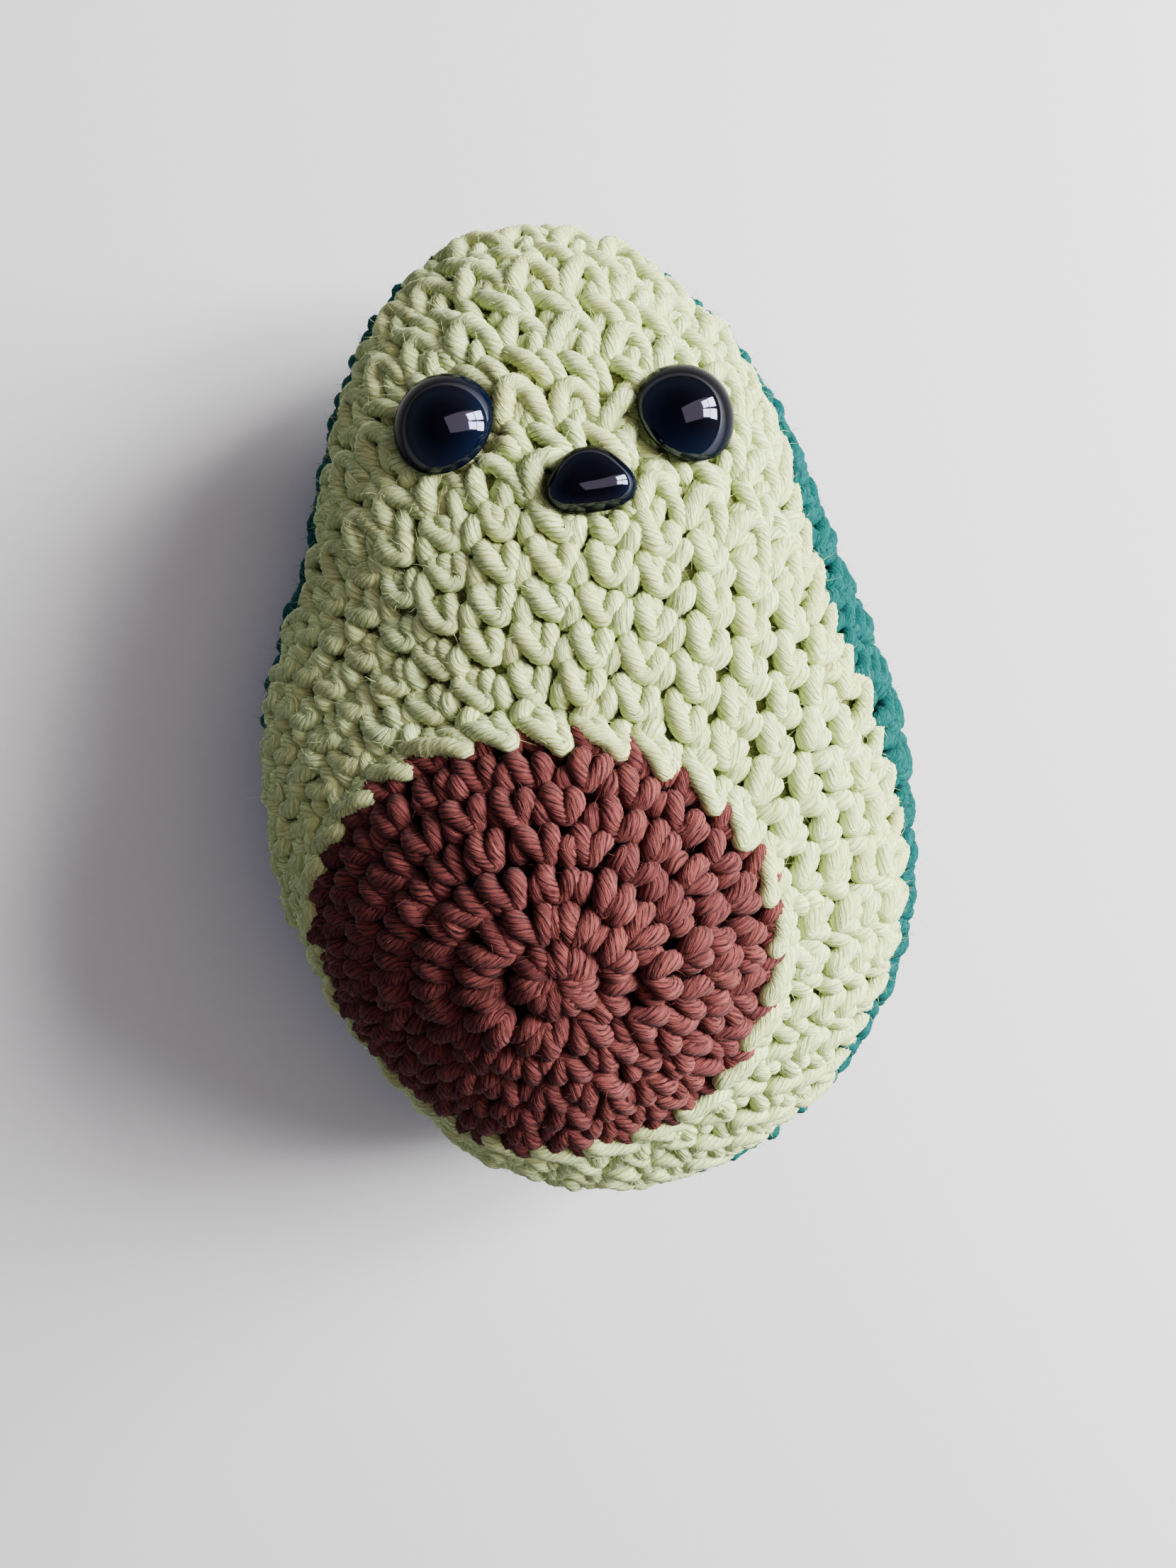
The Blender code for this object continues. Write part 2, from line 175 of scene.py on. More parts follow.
def front_ray(angle):
    """Points on the front from where the rounds start out to the body's outline."""
    out = np.linspace(0, HEAD_REACH + FOOT_REACH, 900)
    x = RING_AT[0] + out * math.cos(angle)
    y = RING_AT[1] + out * math.sin(angle)
    inside = share(x, y) < 0.999
    x, y = x[inside], y[inside]
    return np.stack([x, y, front_height(x, y)], axis=1)


def back_ray(angle):
    """Points from the middle of the back, round the fullest level and on over the front's edge."""
    tilt = np.linspace(-math.pi / 2, math.pi / 4, 400)
    out = outline(angle) * np.cos(tilt)
    depth = np.where(tilt > 0, FRONT_DEPTH, BACK_DEPTH)
    return np.stack([
        MIDDLE[0] + out * math.cos(angle),
        MIDDLE[1] + out * math.sin(angle),
        FULLEST_LEVEL + depth * np.sin(tilt),
    ], axis=1)


class Surface:
    """A side of the body laid out as (angle, distance along its ray), looked up from a table."""

    STEP = 0.25

    def __init__(self, ray, hand):
        self.hand = hand  # 1 where growing angles run clockwise, seen from outside, and -1 where not
        self.rays = [ray(a) for a in ANGLES]
        longest = max(run_of(r)[-1] for r in self.rays)
        distances = np.arange(0, longest, self.STEP)
        grid = np.empty((len(ANGLES), len(distances), 3))
        for i, ray_points in enumerate(self.rays):
            run = run_of(ray_points)
            for axis in range(3):
                grid[i, :, axis] = np.interp(distances, run, ray_points[:, axis])
        self.grid = grid
        across = np.roll(grid[:-1], -1, axis=0) - np.roll(grid[:-1], 1, axis=0)
        across = np.concatenate([across, across[:1]])
        along = np.gradient(grid, axis=1)
        normal = np.cross(along, across) * -hand
        length = np.linalg.norm(normal, axis=2, keepdims=True)
        usable = length[..., 0] > 1e-6
        normal = normal / np.maximum(length, 1e-9)
        for i in range(len(ANGLES)):
            good = np.nonzero(usable[i])[0]
            nearest = np.searchsorted(good, np.arange(len(distances)))
            normal[i] = normal[i, good[np.clip(nearest, 0, len(good) - 1)]]
        self.normals = normal

    def look_up(self, table, angle, distance):
        last = len(ANGLES) - 1
        at = np.asarray(angle) % TURN / TURN * last
        far = np.clip(np.asarray(distance) / self.STEP, 0, table.shape[1] - 1.001)
        i, j = at.astype(int), far.astype(int)
        i = np.minimum(i, last - 1)
        s, t = (at - i)[..., None], (far - j)[..., None]
        near = table[i, j] * (1 - t) + table[i, j + 1] * t
        next_ray = table[i + 1, j] * (1 - t) + table[i + 1, j + 1] * t
        return near * (1 - s) + next_ray * s

    def point(self, angle, distance):
        return self.look_up(self.grid, angle, distance)

    def normal(self, angle, distance):
        found = self.look_up(self.normals, angle, distance)
        return found / np.linalg.norm(found, axis=-1, keepdims=True)

    def place(self, angle, distance, height):
        """Points this high over the surface. A distance below 0 is on the far side of the start."""
        angle = np.where(distance < 0, angle + math.pi, angle)
        distance = np.abs(distance)
        return self.point(angle, distance) + height[..., None] * self.normal(angle, distance)


FRONT = Surface(front_ray, -1)
BACK = Surface(back_ray, 1)


def table_of(function):
    """A function of the angle that is looked up, all round, at whole degrees."""
    values = np.array([function(i) for i in range(len(ANGLES))])
    return lambda angle: np.interp(np.asarray(angle) % TURN, ANGLES, values)


def rim_distance(i):
    ray = FRONT.rays[i]
    near = stone_share(ray[:, 0], ray[:, 1]) < 1.3
    return np.interp(1.0, stone_share(ray[near, 0], ray[near, 1]), run_of(ray[near]))


def seam_inset(angle):
    return SEAM_INSET + bumps(angle, SEAM_INSETS)


def front_seam_distance(i):
    """Where the seam crosses a front ray."""
    ray = FRONT.rays[i]
    x, y = ray[:, 0] - MIDDLE[0], ray[:, 1] - MIDDLE[1]
    angle = np.arctan2(y, x)
    beyond = np.hypot(x, y) - (outline(angle) - seam_inset(angle))
    run = run_of(ray)
    first = np.nonzero(beyond > 0)[0]
    return run[first[0]] if len(first) else run[-1]


def back_seam_distance(i):
    angle = ANGLES[i]
    ray = BACK.rays[i]
    out = np.hypot(ray[:, 0] - MIDDLE[0], ray[:, 1] - MIDDLE[1])
    above = ray[:, 2] > FULLEST_LEVEL
    return np.interp(-(outline(angle) - seam_inset(angle)), -out[above], run_of(ray)[above])


stone_rim = table_of(rim_distance)
front_seam = table_of(front_seam_distance)
back_seam = table_of(back_seam_distance)


# Strands of yarn

def smooth_path(controls, between=3):
    """Catmull-Rom curves through each row of points, this many steps from point to point."""
    first = 2 * controls[:, :1] - controls[:, 1:2]
    last = 2 * controls[:, -1:] - controls[:, -2:-1]
    p = np.concatenate([first, controls, last], axis=1)
    spans = []
    for t in np.arange(between) / between:
        a, b, c, d = p[:, :-3], p[:, 1:-2], p[:, 2:-1], p[:, 3:]
        spans.append(0.5 * (
            2 * b + (c - a) * t + (2 * a - 5 * b + 4 * c - d) * t**2
            + (3 * b - a - 3 * c + d) * t**3
        ))
    made = np.stack(spans, axis=2).reshape(len(p), -1, 3)
    return np.concatenate([made, controls[:, -1:]], axis=1)


def unit(v):
    return v / np.maximum(np.linalg.norm(v, axis=-1, keepdims=True), 1e-9)


class Mesh:
    """Collects the points and faces of a piece, with the yarn's own coordinates. Its strands take
    the first of its materials and its skin the second."""

    def __init__(self):
        self.blocks = []

    def add(self, points, faces, uvs, tones, finish):
        self.blocks.append((points, faces, uvs, tones, np.full(len(faces), finish)))

    def strands(self, controls, out, radius, thickness):
        """Plied tubes along rows of points. out is each one's way out of the fabric."""
        path = smooth_path(controls)
        many, steps, _ = path.shape
        tangent = unit(np.gradient(path, axis=1))
        lengths = np.linalg.norm(np.diff(path, axis=1), axis=2)
        run = np.concatenate([np.zeros((many, 1)), np.cumsum(lengths, axis=1)], axis=1)
        up = np.empty_like(path)
        up[:, 0] = unit(out - (out * tangent[:, 0]).sum(1, keepdims=True) * tangent[:, 0])
        for i in range(1, steps):
            carried = up[:, i - 1]
            along = (carried * tangent[:, i]).sum(1, keepdims=True)
            up[:, i] = unit(carried - along * tangent[:, i])
        side = np.cross(up, tangent)
        given = np.arange(len(thickness))
        fade = np.interp(np.linspace(0, given[-1], steps), given, thickness)
        fade[[0, -1]] *= 0.3
        fade[[1, -2]] *= 0.85
        ply = 1 + PLY_RELIEF * np.cos(math.pi * np.arange(SIDES))
        start = RANDOM.uniform(0, TURN, (many, 1, 1))
        turn = start + TURN * np.arange(SIDES) / SIDES + PLY_TWIST * run[..., None]
        swell = 1 + 0.06 * np.sin(run * 1.7 + start[..., 0] * 3)
        reach = radius[:, None, None] * fade[:, None] * ply * swell[..., None]
        ring = (
            path[:, :, None] + (reach * np.cos(turn))[..., None] * up[:, :, None]
            + (reach * np.sin(turn))[..., None] * side[:, :, None]
        )
        ring[..., 2] = squashed(ring[..., 2])
        points = ring.reshape(-1, 3)
        s, i, j = np.meshgrid(
            np.arange(many), np.arange(steps - 1), np.arange(SIDES), indexing="ij"
        )
        base = s * steps * SIDES
        j2 = (j + 1) % SIDES
        faces = np.stack([
            base + i * SIDES + j, base + i * SIDES + j2,
            base + (i + 1) * SIDES + j2, base + (i + 1) * SIDES + j,
        ], axis=-1).reshape(-1, 4)
        u = run + 40.0 * RANDOM.integers(0, 60, (many, 1))
        near, far = u[s, i], u[s, i + 1]
        uvs = np.stack([
            np.stack([near, j / 2], -1), np.stack([near, (j + 1) / 2], -1),
            np.stack([far, (j + 1) / 2], -1), np.stack([far, j / 2], -1),
        ], axis=3).reshape(-1, 2)
        tone = RANDOM.uniform(0, 1, many)
        self.add(points, faces, uvs, np.repeat(tone, steps * SIDES), 0)
        self.fuzz(path, up, side, radius)

    def fuzz(self, path, up, side, radius):
        """Loose fibres that stand off the strands, each a thin three-sided thread."""
        many, steps, _ = path.shape
        rings, corners = 3, 3
        count = int(many * FUZZ)
        strand = RANDOM.integers(0, many, count)
        at = RANDOM.integers(2, steps - 2, count)
        around = RANDOM.normal(0, 0.9, (count, 1))
        root, u, v = path[strand, at], up[strand, at], side[strand, at]
        away = np.cos(around) * u + np.sin(around) * v
        drift = unit(unit(RANDOM.normal(0, 1, (count, 3))) + 0.25 * away)
        length = RANDOM.uniform(0.4, 1.8, (count, 1, 1))
        part = np.linspace(0, 1, rings)[None, :, None]
        curl = RANDOM.normal(0, 0.4, (count, 1, 3))
        start = root + 0.9 * radius[strand, None] * away
        thread = start[:, None] + length * (part * drift[:, None] + part**2 * curl)
        thread = thread + 0.35 * part * (1 - part) * away[:, None]
        spread = unit(np.cross(drift, away))
        other = unit(np.cross(drift, spread))
        sides = []
        for i in range(corners):
            turn = TURN * i / corners
            sides.append(math.cos(turn) * spread + math.sin(turn) * other)
        ring = thread[:, :, None] + FIBRE * (1.1 - part[..., None]) * np.stack(sides, 1)[:, None]
        ring[..., 2] = np.maximum(ring[..., 2], TABLE + 0.01)
        s, i, j = np.meshgrid(
            np.arange(count), np.arange(rings - 1), np.arange(corners), indexing="ij"
        )
        near = s * rings * corners + i * corners
        far = near + corners
        j2 = (j + 1) % corners
        faces = np.stack([near + j, near + j2, far + j2, far + j], -1).reshape(-1, 4)
        uvs = np.zeros((faces.size, 2))
        uvs[:, 0] = np.repeat(RANDOM.uniform(0, 90, count), faces.size // count)
        self.add(ring.reshape(-1, 3), faces, uvs, np.full(count * rings * corners, 0.2), 0)

    def sheet(self, grid):
        """A skin over rows of points, the last row joined to the first."""
        rows, columns, _ = grid.shape
        i, j = np.meshgrid(np.arange(rows), np.arange(columns - 1), indexing="ij")
        i2 = (i + 1) % rows
        faces = np.stack([
            i * columns + j, i * columns + j + 1, i2 * columns + j + 1, i2 * columns + j,
        ], axis=-1).reshape(-1, 4)
        points = grid.reshape(-1, 3).copy()
        points[:, 2] = squashed(points[:, 2])
        uvs = np.stack([points[faces][..., 0], points[faces][..., 1]], -1).reshape(-1, 2)
        self.add(points, faces, uvs, np.full(len(points), 0.5), 1)

    def objects(self, name, materials, replaced):
        """Its objects, each of whole blocks."""
        groups, total = [[]], 0
        for block in self.blocks:
            total += len(block[1])
            if total > MOST_FACES:
                groups.append([])
                total = len(block[1])
            groups[-1].append(block)
        names = [name] + [f"{name}_{k + 1}" for k in range(1, len(groups))]
        return [self.object(n, g, materials, replaced) for n, g in zip(names, groups)]

    def object(self, name, blocks, materials, replaced):
        points, faces, uvs, tones, finishes = zip(*blocks)
        before = np.cumsum([0] + [len(p) for p in points[:-1]])
        faces = np.concatenate([f + start for f, start in zip(faces, before)])
        points = np.concatenate(points) * MM
        mesh = bpy.data.meshes.new(name)
        mesh.vertices.add(len(points))
        mesh.vertices.foreach_set("co", points.astype(np.float32).ravel())
        mesh.loops.add(faces.size)
        mesh.loops.foreach_set("vertex_index", faces.astype(np.int32).ravel())
        mesh.polygons.add(len(faces))
        starts = np.arange(0, faces.size, 4, dtype=np.int32)
        mesh.polygons.foreach_set("loop_start", starts)
        mesh.polygons.foreach_set("use_smooth", np.ones(len(faces), bool))
        for made in materials:
            mesh.materials.append(made)
        mesh.polygons.foreach_set("material_index", np.concatenate(finishes).astype(np.int32))
        layer = mesh.uv_layers.new(name="yarn")
        layer.data.foreach_set("uv", np.concatenate(uvs).astype(np.float32).ravel())
        tone = mesh.attributes.new("tone", "FLOAT", "POINT")
        tone.data.foreach_set("value", np.concatenate(tones).astype(np.float32))
        mesh.update(calc_edges=True)
        mesh.validate()
        obj = bpy.data.objects.new(name, mesh)
        bpy.context.scene.collection.objects.link(obj)
        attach(obj, "root")
        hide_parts(replaced)
        return obj


def squashed(z):
    """Heights above the table: yarn that would go through it is pressed flat."""
    soft, clear = 0.5, 4
    low = soft * np.logaddexp(0, (z - TABLE) / soft)
    return TABLE + np.where(z < clear, low, z - TABLE)


# Rounds of stitches. A stitch's path is rows of (across, along the ray, height, thickness): across in
# stitches, to the right where the ray points up, along in rounds, and the height in millimetres

VEE = np.array([
    (-0.21, 0.54, -1.5, 0.8), (-0.27, 0.36, 0.15, 0.95), (-0.29, 0.10, 0.75, 1.06),
    (-0.15, -0.17, 0.98, 1.08), (0.04, -0.35, 0.82, 1.0), (0.18, -0.27, 0.65, 0.95),
    (0.235, -0.03, 0.72, 1.0), (0.24, 0.20, 0.35, 0.95), (0.23, 0.36, -1.4, 0.8),
])
BEHIND_VEE = np.array([
    (-0.12, 0.50, -1.0, 0.9), (-0.09, 0.28, -0.05, 1.05), (-0.03, 0.06, 0.12, 1.08),
    (0.04, -0.14, -0.15, 0.95), (0.06, -0.26, -1.0, 0.8),
])
LUMP = np.array([
    (-0.60, -0.60, -1.2, 0.9), (-0.57, -0.44, 0.15, 1.05), (-0.51, -0.22, 0.6, 1.14),
    (-0.46, -0.02, 0.25, 1.05), (-0.43, 0.12, -1.2, 0.9),
])
STONE_VEE = np.array([
    (-0.20, 0.52, -1.2, 0.85), (-0.27, 0.34, 0.45, 1.05), (-0.25, 0.06, 1.1, 1.14),
    (-0.15, -0.20, 0.95, 1.0), (0.0, -0.36, 0.4, 0.85), (0.13, -0.22, 0.75, 0.95),
    (0.22, 0.02, 1.1, 1.1), (0.24, 0.26, 0.55, 1.0), (0.20, 0.42, -1.2, 0.85),
])
STONE_LUMP = np.array([
    (-0.56, -0.46, -1.0, 0.9), (-0.54, -0.30, 0.4, 1.05), (-0.50, -0.12, 0.8, 1.1),
    (-0.46, 0.06, 0.4, 1.0), (-0.44, 0.20, -1.0, 0.9),
])
COLOUR_VEE = np.array([
    (-0.36, 0.44, -1.2, 1.0), (-0.43, 0.22, 0.6, 1.15), (-0.43, -0.06, 1.2, 1.15),
    (-0.24, -0.30, 1.6, 1.0), (0.06, -0.50, 1.75, 0.92), (0.27, -0.64, 1.45, 0.88),
    (0.34, -0.46, 1.2, 0.88), (0.25, -0.16, 1.1, 1.0), (0.22, 0.14, 0.8, 1.05),
    (0.24, 0.40, -1.3, 0.9),
])
COLOUR_FILL = np.array([
    (-0.20, 0.38, -0.8, 0.95), (-0.17, 0.14, 0.8, 1.1), (-0.06, -0.10, 1.15, 1.1),
    (0.07, -0.32, 1.1, 0.95), (0.14, -0.48, -0.4, 0.8),
])
COLOUR_LUMP = np.array([
    (-0.52, -0.04, -1.0, 0.9), (-0.47, 0.12, 0.6, 1.0), (-0.36, 0.32, 1.0, 1.05),
    (-0.25, 0.50, 0.6, 1.0), (-0.19, 0.62, -1.2, 0.9),
])
ARCH = np.array([
    (-0.40, -0.62, -1.2, 0.9), (-0.41, -0.38, 0.35, 1.05), (-0.38, 0.02, 0.75, 1.12),
    (-0.27, 0.34, 0.9, 1.05), (-0.06, 0.42, 0.9, 1.0), (0.14, 0.16, 0.75, 0.95),
    (0.31, -0.18, 0.65, 0.9), (0.44, -0.46, 0.2, 0.9), (0.50, -0.66, -1.2, 0.8),
])
UNDER_ARCH = np.array([
    (-0.04, -0.84, -1.2, 0.8), (0.0, -0.62, 0.25, 0.9), (0.05, -0.36, 0.5, 0.95),
    (0.10, -0.10, 0.1, 0.9), (0.12, 0.04, -1.2, 0.8),
])
LONG_BAR = np.array([
    (-0.62, 0.44, -1.2, 0.8), (-0.48, 0.32, 0.25, 0.9), (-0.22, 0.10, 0.6, 1.0),
    (0.04, -0.14, 0.5, 1.0), (0.18, -0.32, 0.0, 0.95), (0.24, -0.42, -1.2, 0.8),
])
BEHIND_BAR = np.array([
    (-0.30, -0.46, -1.0, 0.9), (-0.20, -0.26, -0.1, 1.0), (0.02, 0.0, 0.1, 1.05),
    (0.26, 0.26, -0.1, 1.0), (0.36, 0.44, -1.0, 0.9),
])
SHORT_BAR = np.array([
    (0.04, 0.46, -1.2, 0.8), (0.12, 0.30, 0.2, 0.9), (0.26, 0.06, 0.5, 0.95),
    (0.40, -0.20, 0.2, 0.9), (0.46, -0.36, -1.2, 0.8),
])
# Along the seam the ray of the back runs up onto the front, so positive is towards the face
PALE_EDGE = np.array([
    (-0.55, 1.05, -1.1, 0.9), (-0.47, 0.80, 0.1, 1.05), (-0.30, 0.42, 0.6, 1.1),
    (-0.02, 0.04, 0.75, 1.0), (0.22, -0.24, 0.55, 0.95), (0.36, -0.14, 0.4, 0.92),
    (0.37, 0.30, 0.5, 0.95), (0.33, 0.76, 0.2, 1.0), (0.30, 1.05, -1.1, 0.9),
])
PALE_EDGE_LUMP = np.array([
    (-0.66, 0.20, -1.1, 0.9), (-0.58, 0.38, 0.0, 1.0), (-0.42, 0.55, 0.2, 1.05),
    (-0.28, 0.72, -0.1, 1.0), (-0.20, 0.82, -1.1, 0.9),
])
TEAL_EDGE = np.array([
    (-0.20, 0.05, -1.0, 0.8), (-0.23, -0.16, 0.3, 0.95), (-0.22, -0.40, 0.9, 1.05),
    (-0.17, -0.64, 0.5, 0.95), (-0.12, -0.78, -1.1, 0.8),
])
TEAL_EDGE_LUMP = np.array([
    (0.24, 0.05, -1.0, 0.8), (0.27, -0.12, 0.2, 0.9), (0.31, -0.34, 0.65, 0.95),
    (0.34, -0.54, 0.2, 0.9), (0.36, -0.66, -1.1, 0.8),
])
FACE_SPOTS = ((EYE_LEFT, EYE_ACROSS / 2), (EYE_RIGHT, EYE_ACROSS / 2), (NOSE_AT, 4.3))


def pressed(points):
    """How far the fabric is pressed down at these points, under the eyes and the nose."""
    total = np.zeros(points.shape[:-1])
    for (x, y), reach in FACE_SPOTS:
        away = np.hypot(points[..., 0] - x, points[..., 1] - y) - reach
        total = np.maximum(total, np.clip(0.6 - away, 0, 1.2) / 1.2)
    return 1.5 * total


class Round:
    """One round of stitches on a surface, at a distance along each ray that is a function."""

    def __init__(self, surface, reach, turned, spacing=STITCH, count=None, restless=1.0):
        self.surface, self.reach, self.restless = surface, reach, restless
        self.run = run_of(surface.point(ANGLES, reach(ANGLES)))
        self.count = count or max(round(self.run[-1] / spacing), 5)
        self.turned = turned

    def angle(self, position):
        """The angle at a place counted in stitches."""
        part = (position + self.turned) / self.count % 1
        return np.interp(part * self.run[-1], self.run, ANGLES)

    def paths(self, which, shape, width=1.0, along_scale=1.0, low=0.0):
        """3-D control points of these stitches, and the way out at each."""
        many = len(which)
        jitter = self.restless * RANDOM.normal(0, 1, (many, 6))
        across = shape[None, :, 0] * (1 + 0.08 * jitter[:, :1]) + 0.03 * jitter[:, 1:2]
        along = shape[None, :, 1] * (1 + 0.07 * jitter[:, 2:3]) * along_scale + 0.03 * jitter[:, 3:4]
        across = across + 0.08 * jitter[:, 5:] * along
        wobble = RANDOM.normal(0, 0.02, (many, len(shape), 2))
        position = which[:, None] + self.surface.hand * (across + wobble[..., 0]) * width
        angle = self.angle(position)
        distance = self.reach(angle) + (along + wobble[..., 1]) * ROUND
        height = shape[None, :, 2] + 0.15 * jitter[:, 4:5] - low
        points = self.surface.place(angle, distance, height)
        if self.surface is FRONT:
            dip = pressed(points)
            points = self.surface.place(angle, distance, height - dip)
        centre = self.angle(which.astype(float))
        out = self.surface.normal(centre, self.reach(centre))
        return points, out


def sized(many, scale):
    """The strands' radii, which vary a little."""
    return YARN * scale * RANDOM.normal(1, 0.045, many)


def row_of(mesh, ring, which, shapes, width=1.0, length=1.0):
    """Stitches of these (shape, scale of the yarn, how far it is sunk)."""
    for shape, scale, low in shapes:
        points, out = ring.paths(which, shape, width, length, low)
        mesh.strands(points, out, sized(len(which), scale), shape[:, 3])


def flat(angle, distance):
    return np.stack([distance * np.cos(angle), distance * np.sin(angle)], -1)


def from_seam(angle, distance, seam):
    """How far inside the seam a place is, in the flat layout. Negative outside it."""
    edge = flat(ANGLES, seam(ANGLES))
    spots = flat(angle, distance)
    gap = np.linalg.norm(spots[:, None] - edge[None], axis=2).min(axis=1)
    return np.where(distance < seam(angle), gap, -gap)


def skin(surface, start, end, columns, rows, low):
    """The close fabric behind the stitches."""
    angles = np.linspace(0, TURN, columns, endpoint=False)
    part = np.linspace(0, 1, rows)
    distance = start(angles)[:, None] * (1 - part) + end(angles)[:, None] * part
    angle = np.repeat(angles[:, None], rows, axis=1)
    return surface.place(angle, distance, np.full(angle.shape, -low))


# Materials

def node(tree, kind, inputs=None, **settings):
    made = tree.nodes.new("ShaderNode" + kind)
    for key, value in settings.items():
        setattr(made, key, value)
    for key, value in (inputs or {}).items():
        if isinstance(value, bpy.types.NodeSocket):
            tree.links.new(value, made.inputs[key])
        else:
            made.inputs[key].default_value = value
    return made


def maths(tree, operation, first, second=0.0, third=None):
    inputs = {0: first, 1: second}
    if third is not None:
        inputs[2] = third
    return node(tree, "Math", inputs, operation=operation).outputs[0]


def blend(tree, part, first, second):
    made = node(tree, "Mix", {0: part}, data_type="RGBA")
    for key, value in ((6, first), (7, second)):
        if isinstance(value, bpy.types.NodeSocket):
            tree.links.new(value, made.inputs[key])
        else:
            made.inputs[key].default_value = (*value, 1)
    return made.outputs[2]


def noise(tree, vector, scale, detail=2.0, roughness=0.5):
    return node(
        tree, "TexNoise",
        {"Vector": vector, "Scale": scale, "Detail": detail, "Roughness": roughness},
    ).outputs[0]


def new_material(name):
    made = bpy.data.materials.new(name)
    made.use_nodes = True
    return made, made.node_tree, made.node_tree.nodes["Principled BSDF"]


def yarn_material(name, light, dark, stray, sheen=0.06):
    """Plied yarn: rounded plies, the fibres along them, and slow changes of tone. The colour is darker
    where the ply's height is low, in the grooves between the plies: painted shade.
    """
    made, tree, shader = new_material(name)
    place = node(tree, "UVMap", uv_map="yarn").outputs[0]
    parts = node(tree, "SeparateXYZ", {0: place})
    along, ply = parts.outputs[0], parts.outputs[1]
    folded = maths(tree, "MULTIPLY", maths(tree, "PINGPONG", ply, 0.5), 2.0)
    height = maths(
        tree, "SQRT", maths(tree, "SUBTRACT", 1.02, maths(tree, "MULTIPLY", folded, folded))
    )

    def streaks(lengthwise, across, detail):
        stretched = node(tree, "CombineXYZ", {
            0: maths(tree, "MULTIPLY", along, lengthwise), 1: maths(tree, "MULTIPLY", ply, across),
        }).outputs[0]
        return noise(tree, stretched, 1.0, detail, 0.6)

    bundles, fibre, slub = streaks(0.9, 2.7, 2.0), streaks(2.4, 8.0, 2.0), streaks(0.4, 0.7, 1.0)
    tone = node(tree, "Attribute", attribute_name="tone").outputs["Fac"]

    # Darker fibre streaks, and painted shade in the grooves between the plies, where the ply's height
    # is low
    streaks_and_groove_shade = maths(tree, "MULTIPLY_ADD", height, 0.7, maths(tree, "MULTIPLY_ADD", bundles, 2.6, -1.8))
    streaks_and_groove_shade = maths(tree, "MULTIPLY_ADD", fibre, 1.0, streaks_and_groove_shade)
    streaks_and_groove_shade = node(tree, "Clamp", {0: streaks_and_groove_shade}).outputs[0]
    colour = blend(tree, streaks_and_groove_shade, dark, light)
    tint = maths(tree, "MULTIPLY_ADD", slub, 0.7, maths(tree, "MULTIPLY_ADD", tone, 0.3, -0.22))
    tint = node(tree, "Clamp", {0: tint}).outputs[0]
    colour = blend(tree, tint, colour, stray)
    tree.links.new(colour, shader.inputs["Base Color"])

    relief = maths(tree, "MULTIPLY_ADD", bundles, 0.26, maths(tree, "MULTIPLY", fibre, 0.10))
    relief = maths(tree, "MULTIPLY_ADD", height, 0.09, relief)
    bump = node(tree, "Bump", {"Height": relief, "Strength": 1.0, "Distance": MM})
    tree.links.new(bump.outputs[0], shader.inputs["Normal"])
    shader.inputs["Roughness"].default_value = 0.85
    shader.inputs["Specular IOR Level"].default_value = 0.12
    shader.inputs["Sheen Weight"].default_value = sheen
    shader.inputs["Sheen Roughness"].default_value = 0.4
    return made


def skin_material(name, light, dark):
    """The fabric behind the stitches, deep in shade: rough little loops and fibres. Behind the yarn
    its two colours are the yarn's painted darker, as painted shade in the holes between the stitches.
    """
    made, tree, shader = new_material(name)
    place = node(tree, "TexCoord").outputs["Object"]
    loops = noise(tree, place, 420.0, 2.0, 0.6)
    hairs = noise(tree, place, 2600.0, 2.0, 0.7)
    part = node(
        tree, "Clamp", {0: maths(
            tree, "MULTIPLY_ADD", loops, 1.2, maths(tree, "MULTIPLY_ADD", hairs, 2.0, -1.1)
        )}
    ).outputs[0]
    tree.links.new(blend(tree, part, dark, light), shader.inputs["Base Color"])
    height = maths(tree, "MULTIPLY_ADD", hairs, 0.5, loops)
    bump = node(tree, "Bump", {"Height": height, "Strength": 1.0, "Distance": 1.5 * MM})
    tree.links.new(bump.outputs[0], shader.inputs["Normal"])
    shader.inputs["Roughness"].default_value = 0.95
    shader.inputs["Specular IOR Level"].default_value = 0.1
    return made


